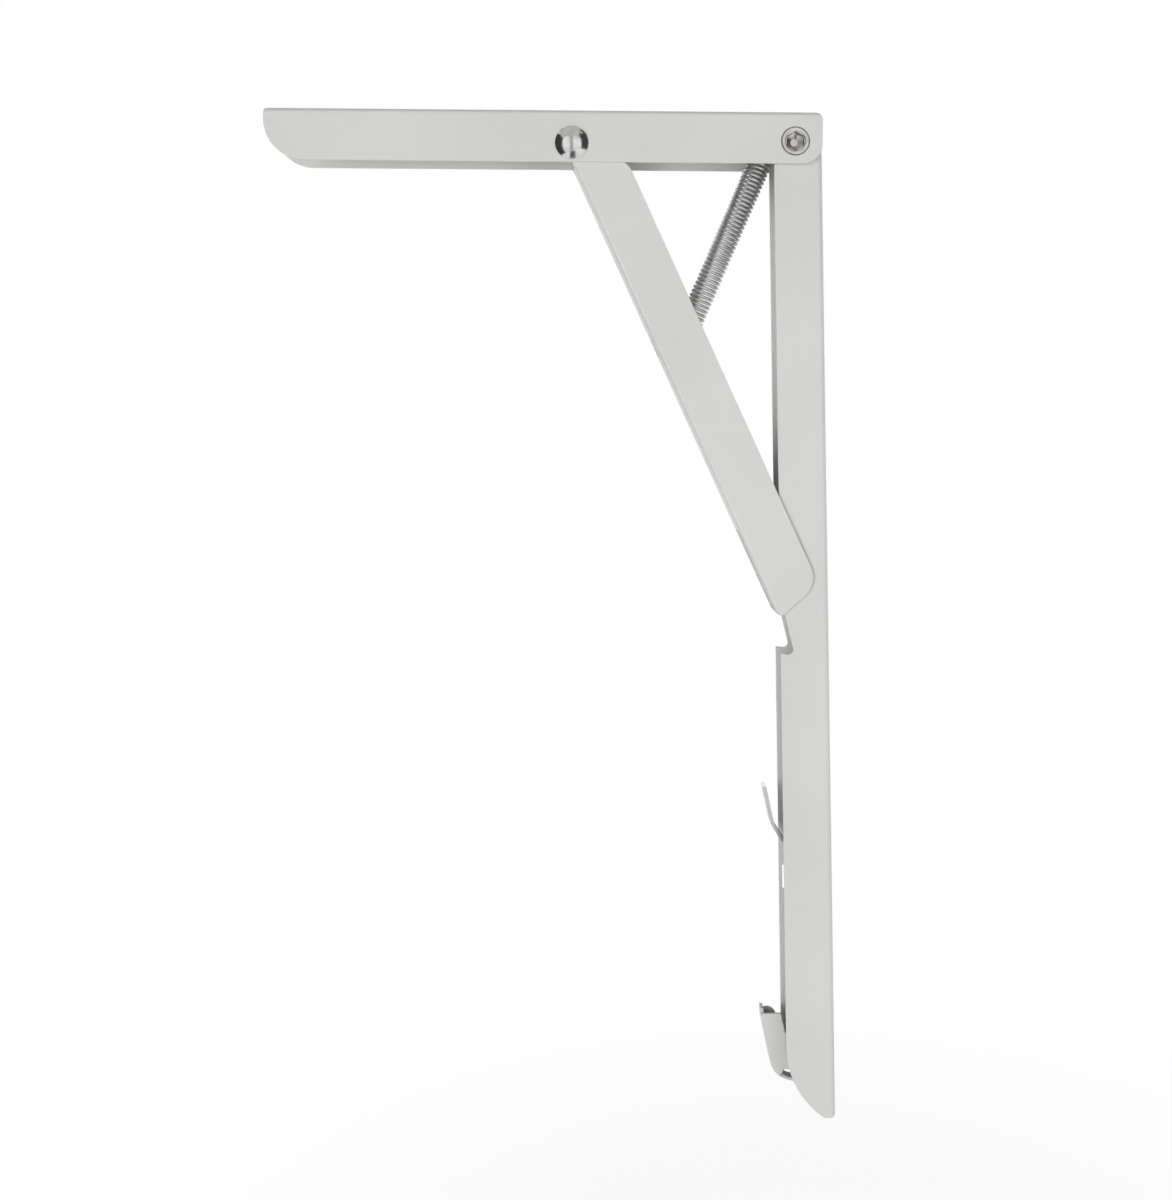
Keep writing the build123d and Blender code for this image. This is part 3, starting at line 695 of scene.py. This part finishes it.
def makeFloor(look):
    half = look["floorSize"] / 2
    mesh = bpy.data.meshes.new("studioFloor")
    corners = [(-half, -half, 0), (half, -half, 0), (half, half, 0), (-half, half, 0)]
    mesh.from_pydata(corners, [], [(0, 1, 2, 3)])
    floor = addObject("studioFloor", mesh)
    floor.location = (0, 0, cadBox[0].z - look["floorDrop"])
    material = bpy.data.materials.new("studioFloor")
    tree = emptyTree(material)
    matt = addNode(tree, "ShaderNodeBsdfDiffuse", (0, 100))
    matt.inputs["Color"].default_value = look["floorTone"]
    white = addNode(tree, "ShaderNodeEmission", (0, -100))
    coords = addNode(tree, "ShaderNodeTexCoord", (-1000, -200))
    distance = addNode(tree, "ShaderNodeVectorMath", (-800, -200), operation="LENGTH")
    tree.links.new(coords.outputs["Object"], distance.inputs[0])
    spread = addRange(tree, distance.outputs["Value"], look["whiteRange"], look["white"], (-500, -200))
    share = addMath(tree, "MULTIPLY", addSeenRays(tree, (-800, 200)), spread, (-100, 300))
    mix = addNode(tree, "ShaderNodeMixShader", (250, 0))
    output = addNode(tree, "ShaderNodeOutputMaterial", (450, 0))
    for outlet, inlet in zip((share, matt.outputs[0], white.outputs[0]), mix.inputs):
        tree.links.new(outlet, inlet)
    tree.links.new(mix.outputs[0], output.inputs["Surface"])
    mesh.materials.append(material)


def makeWorld(look):
    world = bpy.data.worlds.new("studioWorld")
    bpy.context.scene.world = world
    tree = emptyTree(world)
    background = addNode(tree, "ShaderNodeBackground", (200, 0))
    background.inputs["Color"].default_value = (1, 1, 1, 1)
    output = addNode(tree, "ShaderNodeOutputWorld", (400, 0))
    seen = addSeenRays(tree, (-800, 0))
    strength = addRange(tree, seen, (0.0, 1.0), (look["ambient"], 1.0), (0, 0), "LINEAR")
    tree.links.new(strength, background.inputs["Strength"])
    tree.links.new(background.outputs[0], output.inputs["Surface"])


lamps = {
    "leftLamp": {"place": (-2.8, -3.3, 0.0), "size": 2.6, "power": 106.0},
    "rightLamp": {"place": (1.4, -1.3, -0.15), "size": 0.9, "power": 9.5},
    "lowLamp": {"place": (-0.35, -0.9, -0.35), "size": 0.8, "power": 6.0},
    "backLamp": {"place": (1.6, 1.3, 0.2), "size": 1.4, "power": 34.0},
}


def makeLamps(looks):
    target = (cadBox[0] + cadBox[1]) / 2
    for name, look in looks.items():
        light = bpy.data.lights.new(name, "AREA")
        light.shape = "SQUARE"
        light.size = look["size"]
        light.energy = look["power"]
        lamp = addObject(name, light)
        lamp.location = look["place"]
        lamp.rotation_euler = (target - lamp.location).to_track_quat("-Z", "Y").to_euler()
        lamp.visible_glossy = lamp.visible_camera = False


# grey cards that only gloss sees, each by where it stands round the hinge dome, in degrees:
# turn is to the left of straight ahead and rise is above it
cards = {
    "leftCard": {"turn": 84, "rise": -1, "width": 84, "height": 84, "tone": 0.05},
    "leftFootCard": {"turn": 118, "rise": -55, "width": 40, "height": 26, "tone": 0.08},
    "rightCard": {"turn": -62, "rise": 20, "width": 36, "height": 76, "tone": 0.06},
    "topCard": {"turn": 0, "rise": 64, "width": 84, "height": 56, "tone": 0.60},
    "midCard": {"turn": 1, "rise": 3, "width": 14, "height": 66, "tone": 0.5},
    "lowCard": {"turn": -5, "rise": -52, "width": 22, "height": 40, "tone": 0.14},
}
cardDistance = 0.7  # from the dome


def cardMesh(name, look, steps=8):  # a patch of the ball round the dome
    vertices, faces = [], []
    lift = Matrix.Rotation(-math.radians(look["rise"]), 3, "X")
    for row in range(steps + 1):
        for column in range(steps + 1):
            side = math.radians(look["width"]) * (column / steps - 0.5)
            up = math.radians(look["height"]) * (row / steps - 0.5)
            spot = Vector((-math.sin(side), -math.cos(side) * math.cos(up), math.sin(up)))
            vertices.append(lift @ (spot * cardDistance))
    for row in range(steps):
        for column in range(steps):
            first = row * (steps + 1) + column
            faces.append((first, first + 1, first + steps + 2, first + steps + 1))
    mesh = bpy.data.meshes.new(name)
    mesh.from_pydata(vertices, [], faces)
    return mesh


def makeCards(looks):
    domeLow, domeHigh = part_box("strut_rivet_near")
    for name, look in looks.items():
        card = addObject(name, cardMesh(name, look))
        card.location = (domeLow + domeHigh) / 2
        card.rotation_euler = (0, 0, -math.radians(look["turn"]))
        material = bpy.data.materials.new(name)
        tree = emptyTree(material)
        glow = addNode(tree, "ShaderNodeEmission", (0, 0))
        glow.inputs["Color"].default_value = (look["tone"], look["tone"], look["tone"], 1)
        output = addNode(tree, "ShaderNodeOutputMaterial", (200, 0))
        tree.links.new(glow.outputs[0], output.inputs["Surface"])
        card.data.materials.append(material)
        card.visible_camera = card.visible_diffuse = card.visible_shadow = card.visible_transmission = False


cameraLook = {
    "place": (-0.1262, -0.8325, 0.0956),
    "tilt": 90,  # degrees from straight down
    "roll": 0.79,
    "lens": 45.98,
    "sensor": 36.0,
    "shift": (-0.0033, -0.17),
    "nearest": 0.01,
}


def makeCamera(look):
    data = bpy.data.cameras.new("sideCamera")
    data.lens = look["lens"]
    data.sensor_width = look["sensor"]
    data.shift_x, data.shift_y = look["shift"]
    data.clip_start = look["nearest"]
    camera = addObject("sideCamera", data)
    camera.location = look["place"]
    camera.rotation_euler = (math.radians(look["tilt"]), math.radians(look["roll"]), 0)
    bpy.context.scene.camera = camera


makeFloor(studio)
makeWorld(studio)
makeLamps(lamps)
makeCards(cards)
makeCamera(cameraLook)
bpy.context.scene.view_settings.view_transform = "Standard"
print("studio ready")
